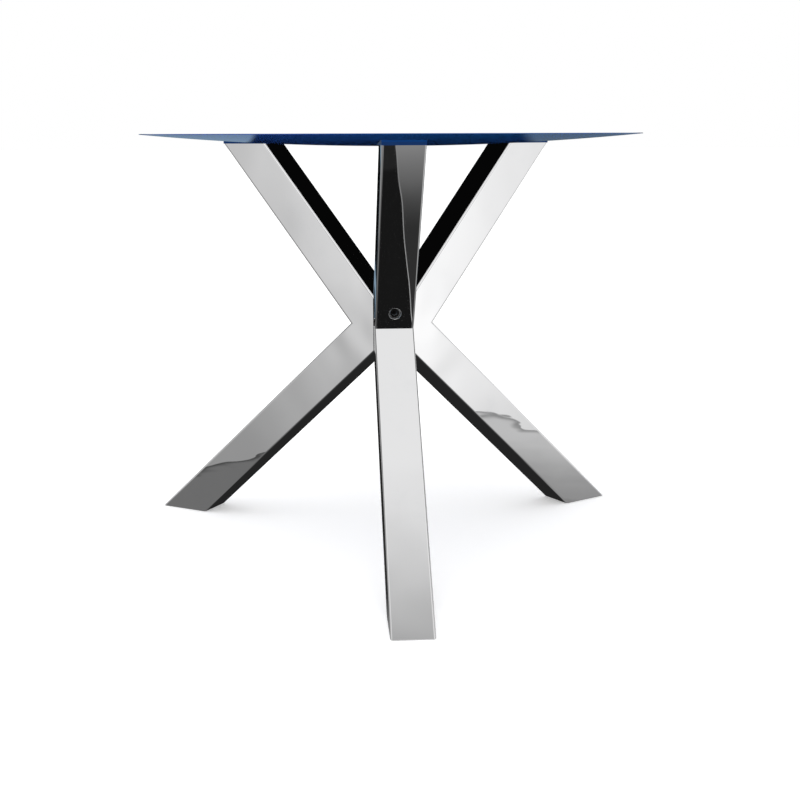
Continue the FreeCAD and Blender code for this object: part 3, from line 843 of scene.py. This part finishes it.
def make_floor():
    """Pale floor; what polished metal sees of it is a painted reflection: a glowing patch round the feet
    with wavy sides, holding painted shade and painted light.
    """
    clear_selection()
    bpy.ops.mesh.primitive_circle_add(vertices=96, radius=60, fill_type="NGON", location=(0, 0, 0))
    floor = added("floor")
    material, tree, shader = new_material("pale_floor", Roughness=0.9, Emission_Strength=0.3)
    shader.inputs["Base Color"].default_value = (0.94, 0.94, 0.94, 1)
    shader.inputs["Emission Color"].default_value = (1, 1, 1, 1)
    place = node(tree, "ShaderNodeTexCoord").outputs["Object"]
    painted_brightness, inside = make_painted_reflection(tree, place)
    # painted reflection: glossy rays see this glow in place of the pale floor
    painted_glow = node(tree, "ShaderNodeEmission", {"Color": (1, 1, 1, 1), "Strength": painted_brightness}).outputs[0]
    clear = node(tree, "ShaderNodeBsdfTransparent").outputs[0]
    mirrored = node(tree, "ShaderNodeMixShader", {0: inside, 1: clear, 2: painted_glow}).outputs[0]
    glossy_ray = node(tree, "ShaderNodeLightPath").outputs["Is Glossy Ray"]
    shown = node(tree, "ShaderNodeMixShader", {0: glossy_ray, 1: shader.outputs[0], 2: mirrored}).outputs[0]
    # nothing of the floor shows from below
    below = node(tree, "ShaderNodeNewGeometry").outputs["Backfacing"]
    shown = node(tree, "ShaderNodeMixShader", {0: below, 1: shown, 2: clear}).outputs[0]
    tree.links.new(shown, tree.nodes["Material Output"].inputs["Surface"])
    floor.data.materials.append(material)


def make_panels(tree, x, y, z):
    """Brightness of the neutral panels and of the cool ones, in the direction x, y, z."""
    # walls of light to the left and right, brighter towards the front, falling off low down
    wall_top = maths(tree, "ADD", z, fade(tree, y, 0.10, 0.30, 0.0, 0.33))
    beside = product(tree, fade(tree, wall_top, 0.50, 0.75, 1, 0), fade(tree, y, -0.72, -0.85, 1, 0),
                     fade(tree, y, 0.90, 0.80, 0, 1))
    left_wall = product(tree, fade(tree, x, -0.45, -0.70, 0, 1), beside,
                        fade(tree, y, -0.47, -0.60, 0.56, 0.90), fade(tree, z, -0.02, -0.27, 0.94, 0.56))
    right_wall = product(tree, fade(tree, x, 0.45, 0.80, 0, 1), beside,
                         fade(tree, y, -0.26, -0.40, 0.84, 1.10), fade(tree, z, -0.14, -0.28, 1.0, 0.80))
    # one big soft panel overhead, a smaller one in front, and a weaker one up at the back
    height = maths(tree, "SUBTRACT", z, fade(tree, y, 0.2, 0.4, 0.0, 0.10))
    overhead = product(tree, fade(tree, height, 0.60, 0.70, 0, 1), fade(tree, y, -0.16, -0.38, 0.86, 0.30))
    back_window = product(tree, fade(tree, y, 0.62, 0.70, 0, 0.6),
                          fade(tree, z, 0.14, 0.20, 0, 1), fade(tree, z, 0.68, 0.62, 0, 1),
                          fade(tree, x, -0.36, -0.32, 0, 1), fade(tree, x, 0.36, 0.32, 0, 1))
    front_panel = product(tree, fade(tree, y, -0.44, -0.50, 0, 0.8), fade(tree, z, 0.18, 0.30, 0, 1),
                          fade(tree, x, -0.55, -0.45, 0, 1), fade(tree, x, 0.55, 0.45, 0, 1))
    room = fade(tree, y, -0.80, -0.95, 0.002, 0.010)
    neutral = total(tree, room, left_wall, right_wall, overhead, back_window, front_panel)
    # two cool ones low at the back, which the underside of the top mirrors
    back = product(tree, fade(tree, y, 0.90, 0.95, 0, 1), fade(tree, z, -0.24, -0.20, 0, 1),
                   fade(tree, z, 0.12, 0.2, 1, 0))
    back_left = product(tree, back, fade(tree, x, -0.110, -0.117, 0, 1),
                        fade(tree, x, -0.12, -0.3, 0.28, 0.18))
    back_right = product(tree, back, fade(tree, x, 0.105, 0.12, 0, 0.13))
    return neutral, total(tree, back_left, back_right)


def make_world():
    """White to the camera, even light on matt surfaces, and a studio of panels in reflections."""
    world = bpy.data.worlds.new("studio")
    bpy.context.scene.world = world
    world.use_nodes = True
    tree = world.node_tree
    tree.nodes.clear()
    place = node(tree, "ShaderNodeTexCoord").outputs["Generated"]
    turned = node(tree, "ShaderNodeVectorRotate", {"Vector": place, "Angle": CAMERA_TURN},
                  rotation_type="Z_AXIS")
    split = node(tree, "ShaderNodeSeparateXYZ", {"Vector": turned.outputs["Vector"]}).outputs
    neutral, cool = make_panels(tree, split["X"], split["Y"], split["Z"])
    grey = node(tree, "ShaderNodeCombineXYZ", {"X": neutral, "Y": neutral, "Z": neutral})
    blue = node(tree, "ShaderNodeVectorMath", {0: (0.72, 1.04, 1.36), "Scale": cool}, operation="SCALE")
    studio = node(tree, "ShaderNodeVectorMath", {0: blue.outputs["Vector"], 1: grey.outputs["Vector"]},
                  operation="ADD")
    path = node(tree, "ShaderNodeLightPath").outputs
    reflected = maths(tree, "SUBTRACT", path["Is Glossy Ray"], path["Is Camera Ray"], clamp=True)
    colour = mix_colour(tree, reflected, (1, 1, 1, 1), studio.outputs["Vector"])
    background = node(tree, "ShaderNodeBackground", {"Color": colour, "Strength": 1.0})
    output = tree.nodes.new("ShaderNodeOutputWorld")
    tree.links.new(background.outputs[0], output.inputs["Surface"])


def make_key_light():
    data = bpy.data.lights.new("key", "AREA")
    data.shape = "RECTANGLE"
    data.size, data.size_y = 2.4, 1.6
    data.energy = 22
    key = bpy.data.objects.new("key", data)
    bpy.context.scene.collection.objects.link(key)
    key.location = HUB + Vector((-0.4, -0.6, 1.9))
    key.rotation_euler = (HUB - key.location).to_track_quat("-Z", "Y").to_euler()
    key.visible_glossy = False
    key.visible_camera = False


build_object()
make_camera()
make_floor()
make_world()
make_key_light()
bpy.context.scene.view_settings.view_transform = "Standard"
